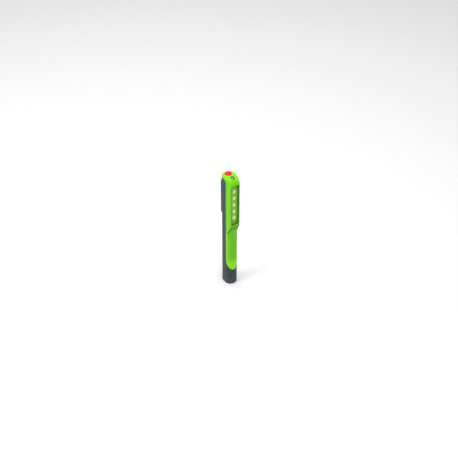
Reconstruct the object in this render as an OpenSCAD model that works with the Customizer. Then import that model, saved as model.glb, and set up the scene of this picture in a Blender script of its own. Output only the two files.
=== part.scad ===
// Slim pen inspection light: a strip of five lights in a window on the front, a torch
// light in the top, a red push button, a folding pocket clip with a magnet, and three
// cells in line behind a pull-off base cap.
// Millimetres, +Z up, the light strip faces -Y. The origin is the centre of the base.

/* [Cells] */
// Diameter of one cell
cell_d = 10.5; // [8:0.1:13]
// Length of one cell, with its raised terminal
cell_l = 44.5; // [30:0.5:60]
// Number of cells in line
cell_count = 3; // [2:1:4]
// Diameter of the raised terminal
cell_nub_d = 3.8; // [3:0.1:5]
// Height of the raised terminal
cell_nub_h = 1; // [0.8:0.1:1.5]

/* [Body] */
// Wall of the two housings
wall = 1.4; // [1.1:0.1:1.7]
// Wall of the tube that guides the cells
tube_wall = 0.65; // [0.5:0.05:0.9]
// Clearance around the cells in their tube
cell_fit = 0.2; // [0.1:0.05:0.4]
// Room on each side of the battery tube
side_room = 0.4; // [0.4:0.1:1.5]
// Room behind the battery tube
back_room = 0.5; // [0.4:0.1:1]
// Room for wiring in front of the battery tube
front_room = 2; // [1.8:0.1:3]
// Extra thickness of the wall behind the finger grips
grip_wall = 1.3; // [1:0.1:1.6]
// Corner radius of the body's section
body_r = 7.4; // [6.4:0.1:7.8]
// Distance from the mid-plane forward to the line where the two housings part
parting_y = 2.6; // [1:0.1:3]
// Thickness of the roof over the switch
roof = 2; // [1.6:0.1:2.4]
// Radius of the rounded slope at the front of the top
dome_r = 10; // [8:0.5:12]

/* [Grip] */
// Height of the lower tip of the green grip above the base
tongue_z = 22.4; // [20:0.2:28]
// Height of the rounded end of the grip
tongue_h = 11.5; // [9:0.5:15]
// Width of the raised rim around the grip panel
rim_w = 1.2; // [0.8:0.1:2]
// Depth of the grip panel below its rim
panel_depth = 0.5; // [0.3:0.1:0.6]
// Number of finger hollows
scallop_count = 3; // [2:1:4]
// Distance between finger hollows
scallop_pitch = 12.4; // [10:0.2:14]
// Height of the middle of the lowest finger hollow
scallop_z = 48; // [44:1:50]
// Height of one finger hollow
scallop_h = 6.6; // [5:0.2:9]
// Depth of a finger hollow
scallop_depth = 0.5; // [0.3:0.1:0.6]

/* [Head] */
// How much narrower than the body the head is, on each side
head_step = 0.7; // [0.5:0.1:1]
// How far the head stands out in front of the body
head_out = 2.6; // [2.2:0.1:3.2]
// Radius of the head's upright front edges
head_r = 2; // [1:0.1:2.5]
// Height of the head's sloping underside
chin_h = 13.5; // [11:0.5:16]
// Depth that the sloping underside runs back
chin_back = 6.2; // [5:0.1:7]
// Flat below the window, down to the sloping underside
chin_flat = 1.6; // [1.4:0.1:5]

/* [Light strip] */
// Number of lights in the strip
led_count = 5; // [3:1:5]
// Distance between lights
led_pitch = 9.5; // [8:0.1:10]
// Width and height of one light package
led_size = 3.6; // [3.5:0.1:5.2]
// Thickness of one light package
led_t = 1.5; // [1:0.1:1.6]
// Diameter of the phosphor spot
phosphor_d = 3; // [3:0.1:4.4]
// Width of the frame on each side of the window
frame_w = 1.8; // [1.6:0.1:2.2]
// Frame left above and below the outer lights
window_margin = 9.6; // [7:0.1:10]
// Corner radius of the window
window_r = 1.6; // [1:0.1:2.5]
// Thickness of the lens flange, and of the raised pad in front of it
lens_t = 0.8; // [0.6:0.1:1]
// How far the lens pad stands back from the front face
lens_recess = 0.6; // [0.4:0.1:0.8]
// Thickness of the printed boards
board_t = 1; // [0.8:0.1:1.2]

/* [Torch] */
// Diameter of the torch light
torch_d = 4.3; // [4:0.1:5.4]
// Length of the torch light's body, flange to tip
torch_l = 8.7; // [8:0.1:9.2]
// Tilt of the torch forward from upright
torch_tilt = 25; // [22:1:28]
// How far the torch light's tip stands out of the slope
torch_out = 1; // [0.6:0.1:1.2]
// Wall of the dark sleeve around the torch light
bezel_wall = 0.3; // [0.2:0.05:0.4]

/* [Button] */
// Diameter of the push button
button_d = 8.2; // [7:0.1:9]
// Height of the button above the top
button_out = 1.3; // [1:0.1:1.8]
// Height of the button's domed crown
button_crown = 0.7; // [0.4:0.1:0.9]
// Travel of the button
button_travel = 0.5; // [0.3:0.05:0.6]
// Distance from the mid-plane back to the button's centre
button_y = 2.4; // [2.2:0.1:3]
// Width of the switch body
switch_w = 6; // [5:0.1:6.2]
// Height of the switch body
switch_h = 3.5; // [3:0.1:3.8]
// Diameter of the switch plunger
plunger_d = 3.4; // [3:0.1:3.5]

/* [Clip] */
// Width of the pocket clip
clip_w = 8.4; // [7.8:0.1:11]
// Thickness of the clip
clip_t = 1.6; // [1.3:0.1:2]
// Length of the clip below its pin
clip_l = 49; // [35:1:60]
// Gap between the clip and the back of the body
clip_gap = 1.2; // [1:0.1:2]
// Diameter of the clip's pin
clip_pin_d = 1.2; // [1:0.1:1.4]
// Height of the clip's pin below the top
clip_drop = 11; // [9:0.5:14]
// Diameter of the magnet in the clip
magnet_d = 6; // [4:0.5:6.5]
// Thickness of the magnet
magnet_t = 1; // [0.8:0.1:1]

/* [Base cap] */
// Height of the base cap
cap_h = 11.8; // [11:0.1:13]
// Thickness of the base cap's floor
cap_floor = 2; // [1.5:0.1:2.5]
// Height of the spring on the cap's contact
spring_h = 7.6; // [6:0.2:9]
// Wire diameter of the spring
wire_d = 0.7; // [0.5:0.05:0.9]
// Number of grip grooves around the base cap
groove_count = 3; // [2:1:3]

/* [Fits] */
// Running clearance on a radius, for pins and sliding pieces
run_fit = 0.05; // [0.02:0.01:0.09]
// Clearance around pieces that drop into place
drop_fit = 0.15; // [0.1:0.01:0.2]

/* [Hidden] */
$fn = 96;

far = 400;               // longer than the light in any direction
plate_t = 0.4;           // thickness of the contact plates

// Section of the body, built out from the cells
bore_r = cell_d / 2 + cell_fit;
tube_r = bore_r + tube_wall;
room_w = 2 * (tube_r + side_room);
room_d = back_room + 2 * tube_r + front_room;
body_w = room_w + 2 * wall;
body_d = room_d + 2 * wall + grip_wall;
corner_r = min(body_r, body_w / 2 - 0.1);
back_y = body_d / 2;
front_y = -body_d / 2;
head_y = front_y - head_out;
head_w = body_w - 2 * head_step;
window_w = head_w - 2 * frame_w;
room_back = back_y - wall;
room_front = room_back - room_d;
room_y = (room_back + room_front) / 2;
cell_y = room_back - back_room - tube_r;

// Heights of the stack, from the base up
contact_z = cap_floor;
spring_z = contact_z + plate_t;
cells_z = spring_z + spring_h;
neck_z = 4;                              // lower end of the neck inside the cap
neck_wall_z = cap_h + 0.2;               // the housing's outer wall starts here
cavity_z = neck_wall_z + 2;              // top of the solid ring around the neck
tube_z = cavity_z - 1;
tube_top = cells_z + cell_count * cell_l + plate_t;
carrier_t = 1.6;
sboard_z = tube_top + carrier_t;
switch_z = sboard_z + board_t;
plunger_out = 1.5;
plunger_top = switch_z + switch_h + plunger_out;
flange_t = 1;
post_l = 5.4;                            // button post between plunger and flange
flange_z = plunger_top + post_l;
roof_z = flange_z + flange_t + 0.1;      // underside of the roof
top_z = roof_z + roof;

// Head, window and light strip
dome_y = -2;
dome_z = top_z - dome_r;
window_top = top_z - 9.3;
led_top_z = window_top - window_margin;
window_bottom = led_top_z - (led_count - 1) * led_pitch - window_margin + 0.6;
chin_z = window_bottom - chin_flat;
head_in = head_w / 2 - wall;             // half width of the room inside the head
head_in_y = head_y + wall;
lens_back = head_in_y + lens_t;
led_front = lens_back + 0.2;
board_y = led_front + led_t;             // front face of the light board
board_back = board_y + board_t;
lboard_w = 2 * (head_in - 0.05);
lboard_z0 = window_bottom - 2;
lboard_z1 = window_top + 1.5;

// Neck, seal and negative strip
seal_z = 9;
seal_h = 1;
seal_in = wall + drop_fit + 0.45;        // the groove's floor, as an inset of the body
strip_t = 0.3;
strip_w = 3;
strip_y = cell_y - tube_r - 1;

// Clip and magnet
knuckle_r = 1.35;
clip_in_y = back_y + clip_gap;
clip_out_y = clip_in_y + clip_t;
pin_y = back_y + knuckle_r + 0.15;
pin_z = top_z - clip_drop;
ear_gap = 3.1;                           // half the gap between the ears
ear_w = 1.5;
magnet_z = pin_z - clip_l + magnet_d / 2 + 2;

// Screws
screw_x = body_w / 2 - 3.35;
screw_z = plunger_top + 1.6;
screw_r = 1;
screw_head_r = 1.9;
screw_head_t = 1.4;
screw_seat_y = back_y - 4.6;
screw_tip_y = -1.4;
seat_t = 1.4;                            // plastic under the screw's head
boss_r = 1.6;
boss_y = -parting_y - 0.8;               // front end of the screw bosses

link_z = switch_z + 0.3;
lead_y = dome_y - 1.4;

// Rounded rectangle, centred
module rounded(w, d, r) {
    square([w - 2 * r, d], center = true);
    square([w, d - 2 * r], center = true);
    for (x = [-1, 1], y = [-1, 1])
        translate([x * (w / 2 - r), y * (d / 2 - r)]) circle(r);
}

// A Y-Z outline carried across the width
module across(half) {
    rotate([90, 0, 90]) translate([0, 0, -half]) linear_extrude(2 * half) children();
}

// An X-Z outline carried from y0 back to y1
module deep(y0, y1) {
    translate([0, y1, 0]) rotate([90, 0, 0]) linear_extrude(y1 - y0) children();
}

// Upright prism of the body's outline, drawn in by an inset
module column(z0, z1, inset = 0) {
    translate([0, 0, z0]) linear_extrude(z1 - z0)
        rounded(body_w - 2 * inset, body_d - 2 * inset, corner_r - inset);
}

// Outline of the room inside the housings, drawn in by an inset
module room_outline(inset = 0) {
    translate([0, room_y])
        rounded(room_w - 2 * inset, room_d - 2 * inset, corner_r - wall - inset);
}

// Everything under the flat top and its rounded front slope, grown or shrunk on the radius
module under_top(shrink) {
    across(far) {
        translate([dome_y, -1]) square([far, top_z + 1 - shrink]);
        translate([-far, -1]) square([far, dome_z + 1]);
        translate([dome_y, dome_z]) circle(dome_r - shrink);
    }
}

// Side outline of the head: flat front, sloping underside, moved in by an inset
module head_side(inset) {
    slope = atan2(chin_h, chin_back);
    lift = inset / cos(slope);
    polygon([[head_y + inset, far], [head_y + inset, chin_z + lift - inset * tan(slope)],
        [head_y + chin_back, chin_z + lift - chin_h], [0, chin_z + lift - chin_h],
        [0, far]]);
}

// Head, from above a flat-fronted box with two rounded edges
module head(inset) {
    w = head_w - 2 * inset;
    y = head_y + inset;
    r = max(head_r - inset, 0.4);
    intersection() {
        linear_extrude(far) {
            translate([-w / 2, y + r]) square([w, -y - r]);
            translate([-w / 2 + r, y]) square([w - 2 * r, 2 * r]);
            for (x = [-1, 1]) translate([x * (w / 2 - r), y + r]) circle(r);
        }
        across(far) head_side(inset);
    }
}

// Both housings as one closed shell, before they part
module shell() {
    difference() {
        intersection() {
            union() {
                column(neck_wall_z, top_z);
                head(0);
            }
            under_top(0);
        }
        intersection() {
            union() {
                translate([0, 0, cavity_z]) linear_extrude(far) room_outline();
                head(wall);
            }
            room_under_roof();
        }
    }
}

// The room's ceiling: flat under the roof, rounded inside the front slope
module room_under_roof() {
    across(far) {
        translate([dome_y, -1]) square([far, roof_z + 1]);
        translate([-far, -1]) square([far, dome_z + 1]);
        intersection() {
            translate([dome_y, dome_z]) circle(dome_r - wall);
            translate([-far, 0]) square([far + dome_y, roof_z]);
        }
    }
}

// Rounded lower end of the grip as an outline, drawn in by an inset
module tongue_outline(inset = 0) {
    half = body_w / 2 + 0.1 - inset;
    mid = tongue_z + tongue_h;
    drop = tongue_h - inset;
    polygon(concat([[half, far], [-half, far]],
        [for (a = [180 : 6 : 360]) [half * cos(a), mid + drop * sin(a)]]));
}

// What belongs to the rear housing: the back half, and all below the grip's tongue
module rear_region() {
    seam_top = top_z - 4.3;
    seam_r = 5;
    across(far) {
        translate([-parting_y, -1]) square([far, seam_top - seam_r + 1]);
        translate([-parting_y + seam_r, -1]) square([far, seam_top + 1]);
        translate([-parting_y + seam_r, seam_top - seam_r]) circle(seam_r);
    }
    difference() {
        translate([-far / 2, -far / 2, -1]) cube([far, far, tongue_z + tongue_h + 1]);
        deep(-far, far) tongue_outline();
    }
}

// Window opening, grown or shrunk all round
module window_outline(grow) {
    w = window_w + 2 * grow;
    h = window_top - window_bottom + 2 * grow;
    translate([0, (window_top + window_bottom) / 2]) rounded(w, h, window_r + max(grow, 0) / 2);
}

// Outline of the lens flange, grown all round
module lens_flange_outline(grow = 0) {
    w = 2 * (head_in - 0.05 + grow);
    translate([-w / 2, window_bottom - 1.2 - grow])
        square([w, window_top - window_bottom + 2.2 + 2 * grow]);
}

// Along the torch's axis, at a distance from the centre of the rounded slope
module on_torch(reach) {
    translate([0, dome_y, dome_z]) rotate([torch_tilt, 0, 0]) translate([0, 0, reach]) children();
}

// Recessed grip panel with its finger hollows, cut out of the front
module grip_cut() {
    bow = (pow(scallop_h / 2, 2) + pow(scallop_depth, 2)) / (2 * scallop_depth);
    intersection() {
        deep(-far / 2, -parting_y - 1.5) tongue_outline(rim_w);
        union() {
            difference() {
                translate([-far / 2, -far / 2, 0]) cube([far, far, chin_z - chin_h]);
                column(-1, far, panel_depth);
            }
            intersection() {
                translate([-far / 2, -far / 2, 0]) cube([far, far, chin_z - chin_h]);
                for (i = [0 : scallop_count - 1])
                    translate([0, front_y + panel_depth + scallop_depth - bow,
                        scallop_z + i * scallop_pitch])
                        rotate([0, 90, 0]) cylinder(r = bow, h = body_w, center = true);
            }
        }
    }
}

// Bosses that the two screws bite into, each with a web to the side wall
module screw_bosses() {
    web_y = -parting_y - 1.4;
    for (x = [-1, 1]) scale([x, 1, 1]) {
        translate([screw_x, boss_y, screw_z]) rotate([-90, 0, 0])
            cylinder(r = boss_r, h = screw_seat_y - seat_t - boss_y);
        translate([screw_x + 0.6, web_y, screw_z - 0.8]) cube([2, 1.35, 1.6]);
    }
}

// Ledges that hold the lens, the light board, and the housing's joint
module front_ledges() {
    rail_x = window_w / 2 + 0.05;
    rail_h = window_top - window_bottom;
    inner_r = corner_r - wall;
    bend = max(room_front + inner_r + parting_y, 0);
    lug_x = room_w / 2 - inner_r + sqrt(inner_r * inner_r - bend * bend) - 0.7;
    lug_h = 5;
    lug_low = tongue_z + tongue_h + 8;
    lug_pitch = (dome_z - 30 - lug_low) / 2;
    for (x = [-1, 1]) scale([x, 1, 1]) {
        translate([rail_x, lens_back + 0.02, window_bottom])
            cube([head_in + 0.3 - rail_x, led_t + 0.16, rail_h]);
        for (z = [lboard_z0 + 4, lboard_z1 - 16])
            translate([head_in - 0.6, board_back + 0.05, z]) cube([0.9, 0.6, 4]);
        for (i = [0 : 2]) translate([lug_x, -parting_y - 1.4, lug_low + i * lug_pitch]) {
            cube([1.2, 1.35, lug_h]);
            cube([0.65, 2.4, lug_h]);
        }
    }
    // Hook at the tip of the tongue, behind the rear housing's front wall
    translate([-2, room_front, tongue_z - 5]) {
        translate([0, 0.25, 0]) cube([4, 0.6, 12]);
        translate([0, -0.4, 6]) cube([4, 1, 6]);
    }
}

// Green front housing: grip, head with its window, and the whole top
module front_housing() {
    color([0.45, 0.80, 0.16]) union() {
        difference() {
            shell();
            rear_region();
            deep(head_y - 1, head_in_y + 0.5) window_outline(0);
            deep(head_in_y - 0.02, lens_back + 0.02) lens_flange_outline(0.02);
            translate([0, button_y, roof_z - 1])
                cylinder(r = button_d / 2 + run_fit + 0.05, h = roof + 2);
            on_torch(dome_r - 4) cylinder(r = torch_d / 2 + 2 * run_fit + bezel_wall, h = 8);
            grip_cut();
        }
        difference() {
            screw_bosses();
            for (x = [-1, 1]) translate([x * screw_x, screw_tip_y - 0.3, screw_z])
                rotate([-90, 0, 0]) cylinder(r = screw_r, h = far);
        }
        front_ledges();
    }
}

// Grey rear housing, with the clip's ears, the screw seats and the neck for the cap
module rear_housing() {
    ear_r = knuckle_r + 0.25;
    color([0.32, 0.37, 0.39]) difference() {
        union() {
            intersection() {
                shell();
                rear_region();
            }
            column(neck_z, neck_wall_z + 0.5, wall + drop_fit);
            for (x = [-1, 1]) scale([x, 1, 1]) {
                translate([ear_gap, pin_y, pin_z]) rotate([0, 90, 0])
                    cylinder(r = ear_r, h = ear_w);
                translate([ear_gap, back_y - 2.6, pin_z - ear_r])
                    cube([ear_w, pin_y - back_y + 2.6, 2 * ear_r]);
                translate([screw_x, screw_seat_y - seat_t, screw_z]) rotate([-90, 0, 0])
                    cylinder(r = screw_head_r + 0.5, h = seat_t + 1.8);
            }
        }
        // Bore for the cells, and the seat for the battery tube
        translate([0, cell_y, 0]) cylinder(r = bore_r, h = cavity_z + 1);
        translate([0, cell_y, tube_z]) cylinder(r = tube_r + 0.03, h = 3);
        // Slot for the negative strip
        strip_slot(0.2);
        // Groove for the seal
        difference() {
            column(seal_z, seal_z + seal_h, wall);
            column(seal_z - 1, seal_z + seal_h + 1, seal_in);
        }
        for (x = [-1, 1]) {
            translate([x * screw_x, 0, screw_z]) rotate([-90, 0, 0])
                cylinder(r = screw_r + 0.1, h = far);
            translate([x * screw_x, screw_seat_y, screw_z]) rotate([-90, 0, 0])
                cylinder(r = screw_head_r + 0.1, h = far);
        }
        translate([-far / 2, pin_y, pin_z]) rotate([0, 90, 0])
            cylinder(r = clip_pin_d / 2, h = far);
    }
}

// Slot that the negative strip passes through, wider than the strip by a clearance
module strip_slot(fit) {
    translate([-strip_w / 2 - fit, strip_y - fit / 2, 0])
        cube([strip_w + 2 * fit, strip_t + fit, far]);
}

// Grey base cap that slides down off the neck
module base_cap() {
    groove_z = 2.2;
    groove_pitch = 3.3;
    color([0.30, 0.34, 0.37]) difference() {
        column(0, cap_h);
        column(cap_floor, cap_h + 1, wall);
        for (i = [0 : groove_count - 1]) difference() {
            column(groove_z + i * groove_pitch - 0.4, groove_z + i * groove_pitch + 0.4, -1);
            column(0, cap_h, 0.35);
        }
    }
}

// Rubber seal in the neck's groove
module cap_seal() {
    color([0.08, 0.08, 0.09]) difference() {
        column(seal_z + 0.05, seal_z + seal_h - 0.05, wall + 0.03);
        column(seal_z - 1, seal_z + seal_h + 1, seal_in - 0.02);
    }
}

// Contact plate on the cap's floor, with a tab that reaches the negative strip
module cap_contact() {
    color([0.80, 0.78, 0.70]) translate([0, 0, contact_z]) linear_extrude(plate_t) {
        translate([0, cell_y]) circle(bore_r - 0.4);
        translate([-2, strip_y - 0.6]) square([4, cell_y - strip_y]);
    }
}

// Helical spring between the cap's contact and the lowest cell
module contact_spring() {
    turns = 4.5;
    coil_r = 3.6;
    steps = 18;
    sides = 8;
    wire_r = wire_d / 2;
    rings = floor(turns * steps);
    rise = spring_h - wire_d;
    function ring_point(i, j) = let (a = 360 * i / steps, b = 360 * j / sides,
        r = coil_r + wire_r * cos(b))
        [r * cos(a), r * sin(a), wire_r + rise * i / rings + wire_r * sin(b)];
    points = [for (i = [0 : rings], j = [0 : sides - 1]) ring_point(i, j)];
    walls = [for (i = [0 : rings - 1], j = [0 : sides - 1]) let (k = (j + 1) % sides)
        [i * sides + j, i * sides + k, (i + 1) * sides + k, (i + 1) * sides + j]];
    first = [[for (j = [sides - 1 : -1 : 0]) j]];
    last = [[for (j = [0 : sides - 1]) rings * sides + j]];
    color([0.78, 0.79, 0.80]) translate([0, cell_y, spring_z])
        polyhedron(points, concat(walls, first, last), convexity = 10);
}

// One cell, its raised terminal upwards
module cell(index) {
    color([0.75, 0.62, 0.28]) translate([0, cell_y, cells_z + index * cell_l]) {
        cylinder(d = cell_d, h = cell_l - cell_nub_h);
        cylinder(d = cell_nub_d, h = cell_l);
    }
}

module cell_bottom() { cell(0); }
module cell_middle() { cell(1); }
module cell_top() { cell(cell_count - 1); }

// Thin tube that guides the cells and holds the wiring off them
module battery_tube() {
    color([0.12, 0.12, 0.13]) translate([0, cell_y, tube_z]) difference() {
        cylinder(r = tube_r, h = tube_top - tube_z);
        translate([0, 0, -1]) cylinder(r = bore_r, h = far);
    }
}

// Positive contact plate with its rivet through the carrier and the board
module top_contact() {
    color([0.80, 0.68, 0.35]) translate([0, cell_y, tube_top - plate_t]) {
        cylinder(r = bore_r - 0.8, h = plate_t);
        cylinder(r = 0.7, h = plate_t + carrier_t + 0.3);
    }
}

// Moulded carrier that caps the battery tube and bears the switch board
module contact_carrier() {
    color([0.86, 0.86, 0.82]) difference() {
        union() {
            translate([0, 0, tube_top]) linear_extrude(carrier_t) room_outline(drop_fit);
            translate([0, cell_y, tube_top - 2.4]) cylinder(r = tube_r + 0.35, h = 2.5);
        }
        translate([0, cell_y, 0]) cylinder(r = tube_r + 0.02, h = tube_top);
        translate([0, cell_y, 0]) cylinder(r = 0.75, h = far);
        strip_slot(0.2);
    }
}

// Flat strip that carries the negative side from the cap up to the switch board
module negative_strip() {
    color([0.80, 0.78, 0.72])
        translate([-strip_w / 2, strip_y, spring_z + 0.03])
            cube([strip_w, strip_t, sboard_z - spring_z + 0.6]);
}

// Printed board that carries the switch and the torch light
module switch_board() {
    color([0.10, 0.38, 0.20]) difference() {
        translate([0, 0, sboard_z]) linear_extrude(board_t) room_outline(drop_fit);
        translate([0, cell_y, 0]) cylinder(r = 0.75, h = far);
        strip_slot(0.1);
    }
}

// Body of the push switch, with a blind bore for its plunger
module switch_body() {
    color([0.14, 0.14, 0.15]) difference() {
        translate([-switch_w / 2, button_y - switch_w / 2, switch_z])
            cube([switch_w, switch_w, switch_h]);
        translate([0, button_y, switch_z + switch_h - 1.6])
            cylinder(r = plunger_d / 2 + run_fit, h = far);
        translate([0, cell_y, switch_z - 1]) cylinder(r = 0.9, h = 1.5);
    }
}

// Plunger of the push switch
module switch_plunger() {
    low = switch_z + switch_h - 1.6 + button_travel + 0.2;
    color([0.55, 0.56, 0.57]) translate([0, button_y, low])
        cylinder(d = plunger_d, h = plunger_top - low);
}

// Red push button: crown, stem through the roof, flange under it, and post
module push_button() {
    stem_r = button_d / 2;
    crown_z = top_z + button_out;
    crown_r = (pow(stem_r, 2) + pow(button_crown, 2)) / (2 * button_crown);
    color([0.90, 0.16, 0.18]) translate([0, button_y, 0]) {
        intersection() {
            translate([0, 0, flange_z + 0.2]) cylinder(r = stem_r, h = far);
            translate([0, 0, crown_z - crown_r]) sphere(r = crown_r, $fn = 128);
        }
        intersection() {
            translate([0, 0, flange_z]) cylinder(r = stem_r + 0.6, h = flange_t);
            translate([-far / 2, -stem_r, 0]) cube(far);
        }
        translate([0, 0, plunger_top]) cylinder(r = 2, h = post_l + 0.2);
    }
}

// Printed board behind the window, with holes for the link pins
module led_board() {
    color([0.72, 0.78, 0.60]) difference() {
        deep(board_y, board_back)
            translate([-lboard_w / 2, lboard_z0]) square([lboard_w, lboard_z1 - lboard_z0]);
        link_row() cylinder(r = 0.35, h = 6);
    }
}

// Places each child behind one light of the strip
module strip_places() {
    for (i = [0 : led_count - 1])
        translate([0, board_y, led_top_z - i * led_pitch]) rotate([90, 0, 0]) children();
}

// The strip's light packages, each with a round well
module led_packages() {
    color([0.93, 0.93, 0.90]) strip_places() difference() {
        translate([-led_size / 2, -led_size / 2, 0]) cube([led_size, led_size, led_t]);
        translate([0, 0, led_t - 0.4]) cylinder(r = phosphor_d / 2 + 0.03, h = 1);
    }
}

// Yellow phosphor in each package's well
module led_phosphors() {
    color([0.93, 0.86, 0.30]) strip_places()
        translate([0, 0, led_t - 0.4]) cylinder(d = phosphor_d, h = 0.35);
}

// Resistors between the lights and one driver chip, on the back of the light board
module driver_parts() {
    color([0.10, 0.10, 0.11]) {
        for (i = [0 : led_count - 2])
            translate([-1.6, board_back, led_top_z - (i + 0.5) * led_pitch - 0.6])
                cube([3.2, 0.6, 1.6]);
        translate([-2.5, board_back, window_bottom + 1]) cube([5, 1.1, 4]);
    }
}

// Places each child along Y at the three pin positions
module link_row() {
    for (x = [-2.54, 0, 2.54])
        translate([x, board_y - 0.1, link_z]) rotate([-90, 0, 0]) children();
}

// Pins that join the light board to the switch board
module link_pins() {
    color([0.80, 0.78, 0.70]) link_row() cylinder(r = 0.3, h = board_t + 2.4);
}

// Clear lens: a flange behind the frame and a pad that fills the window
module window_lens() {
    pad_y = head_y + lens_recess;
    color([0.85, 0.95, 0.85, 0.35]) union() {
        deep(head_in_y, lens_back) lens_flange_outline();
        deep(pad_y, head_in_y + 0.1) window_outline(-0.08);
    }
}

// Torch light: clear body with a flange and a round tip
module torch_led() {
    r = torch_d / 2;
    color([0.90, 0.93, 0.88, 0.6]) on_torch(dome_r + torch_out - torch_l) {
        cylinder(r = r + 0.4, h = 1);
        cylinder(r = r, h = torch_l - r);
        translate([0, 0, torch_l - r]) sphere(r = r);
    }
}

// The torch light's two legs, down to the switch board
module torch_leads() {
    color([0.80, 0.80, 0.78]) difference() {
        for (x = [-1.27, 1.27])
            translate([x - 0.25, lead_y - 0.25, switch_z]) cube([0.5, 0.5, 8]);
        on_torch(dome_r + torch_out - torch_l) cylinder(r = torch_d, h = far);
    }
}

// Dark sleeve in the hole around the torch light
module torch_bezel() {
    color([0.06, 0.06, 0.07]) on_torch(dome_r - 3) difference() {
        cylinder(r = torch_d / 2 + run_fit + bezel_wall, h = 2.5);
        translate([0, 0, -1]) cylinder(r = torch_d / 2 + run_fit, h = 5);
    }
}

// Grey pocket clip: knuckle between the ears, straight arm, bevelled toe
module clip_arm() {
    toe_z = pin_z - clip_l;
    neck_z1 = pin_z - knuckle_r - 0.9;
    color([0.28, 0.32, 0.35]) difference() {
        union() {
            translate([-ear_gap + 0.1, pin_y, pin_z]) rotate([0, 90, 0])
                cylinder(r = knuckle_r, h = 2 * ear_gap - 0.2);
            translate([-ear_gap + 0.1, clip_in_y, neck_z1 - 1])
                cube([2 * ear_gap - 0.2, clip_out_y - clip_in_y, pin_z - neck_z1 + 1]);
            deep(clip_in_y, clip_out_y) hull() {
                translate([-clip_w / 2, toe_z + 3]) square([clip_w, neck_z1 - toe_z - 3]);
                for (x = [-1, 1]) translate([x * (clip_w / 2 - 2), toe_z + 2])
                    circle(2, $fn = 32);
            }
            across(clip_w / 2 - 1.2)
                polygon([[clip_in_y + 0.2, toe_z + 9], [clip_in_y - 0.9, toe_z + 5],
                    [clip_in_y - 0.9, toe_z + 3], [clip_in_y + 0.2, toe_z + 1]]);
        }
        translate([-far / 2, pin_y, pin_z]) rotate([0, 90, 0])
            cylinder(r = clip_pin_d / 2 + run_fit, h = far);
        translate([0, clip_out_y - magnet_t, magnet_z]) rotate([-90, 0, 0])
            cylinder(d = magnet_d + 2 * run_fit, h = 5);
    }
}

// Steel pin through the ears and the clip's knuckle
module clip_pin() {
    half = ear_gap + ear_w;
    color([0.70, 0.71, 0.72]) translate([-half, pin_y, pin_z]) rotate([0, 90, 0])
        cylinder(d = clip_pin_d, h = 2 * half);
}

// Round magnet, flush with the clip's outer face
module clip_magnet() {
    color([0.62, 0.63, 0.65]) translate([0, clip_out_y - magnet_t, magnet_z])
        rotate([-90, 0, 0]) cylinder(d = magnet_d, h = magnet_t);
}

// Two screws that draw the housings together at the top
module housing_screws() {
    color([0.55, 0.56, 0.58]) for (x = [-1, 1])
        translate([x * screw_x, screw_seat_y, screw_z]) rotate([-90, 0, 0]) difference() {
            union() {
                cylinder(r = screw_head_r, h = screw_head_t);
                translate([0, 0, screw_tip_y - screw_seat_y])
                    cylinder(r = screw_r, h = screw_seat_y - screw_tip_y);
            }
            for (a = [0, 90]) rotate([0, 0, a])
                translate([-1.1, -0.25, screw_head_t - 0.8]) cube([2.2, 0.5, 1]);
        }
}

front_housing();
rear_housing();
base_cap();
cap_seal();
cap_contact();
contact_spring();
cell_bottom();
cell_middle();
cell_top();
battery_tube();
top_contact();
contact_carrier();
negative_strip();
switch_board();
switch_body();
switch_plunger();
push_button();
led_board();
led_packages();
led_phosphors();
driver_parts();
link_pins();
window_lens();
torch_led();
torch_leads();
torch_bezel();
clip_arm();
clip_pin();
clip_magnet();
housing_screws();
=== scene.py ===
import math

import bmesh
import bpy
from mathutils import Matrix, Vector


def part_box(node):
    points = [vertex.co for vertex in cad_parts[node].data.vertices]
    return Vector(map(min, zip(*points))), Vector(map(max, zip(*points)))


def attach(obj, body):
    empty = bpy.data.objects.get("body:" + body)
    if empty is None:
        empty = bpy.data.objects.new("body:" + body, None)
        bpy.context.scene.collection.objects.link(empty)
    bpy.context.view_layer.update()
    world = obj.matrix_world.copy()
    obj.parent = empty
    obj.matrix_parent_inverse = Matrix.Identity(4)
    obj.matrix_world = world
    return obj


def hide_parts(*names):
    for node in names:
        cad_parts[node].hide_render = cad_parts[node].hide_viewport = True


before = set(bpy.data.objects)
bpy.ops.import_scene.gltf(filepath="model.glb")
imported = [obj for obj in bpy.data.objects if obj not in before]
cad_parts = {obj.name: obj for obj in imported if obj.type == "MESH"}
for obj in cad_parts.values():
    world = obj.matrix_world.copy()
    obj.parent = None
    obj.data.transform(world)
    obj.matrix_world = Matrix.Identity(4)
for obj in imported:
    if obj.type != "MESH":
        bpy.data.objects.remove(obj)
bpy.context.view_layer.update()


# ---- Camera -------------------------------------------------------------------------------
# The light stands upright on its base and is seen from its front left, from well above, with
# a long lens, as in a catalogue picture. The whole light takes up a small part of the frame.

def towards(turn, rise):
    """Direction from the light to a place round to its left by turn and up by rise."""
    turn, rise = math.radians(turn), math.radians(rise)
    return Vector((-math.sin(turn) * math.cos(rise), -math.cos(turn) * math.cos(rise),
                   math.sin(rise)))


camera_way = towards(34, 39)
camera_reach = 1.060
camera_target = Vector((-0.0008, 0, 0.0806))
camera = bpy.data.objects.new("camera", bpy.data.cameras.new("camera"))
camera.data.lens = 69.7
camera.data.sensor_width = 36
camera.data.clip_start = 0.01
camera.location = camera_target + camera_way * camera_reach
camera.rotation_euler = camera_way.to_track_quat("Z", "Y").to_euler()
bpy.context.scene.collection.objects.link(camera)
bpy.context.scene.camera = camera


# ---- Soft boxes ---------------------------------------------------------------------------
# Large square lamps around the light, the strongest at the upper left, and a white sky that
# fills the shadows. Their soft edges give the narrow highlights on the plastic's corners.

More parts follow.
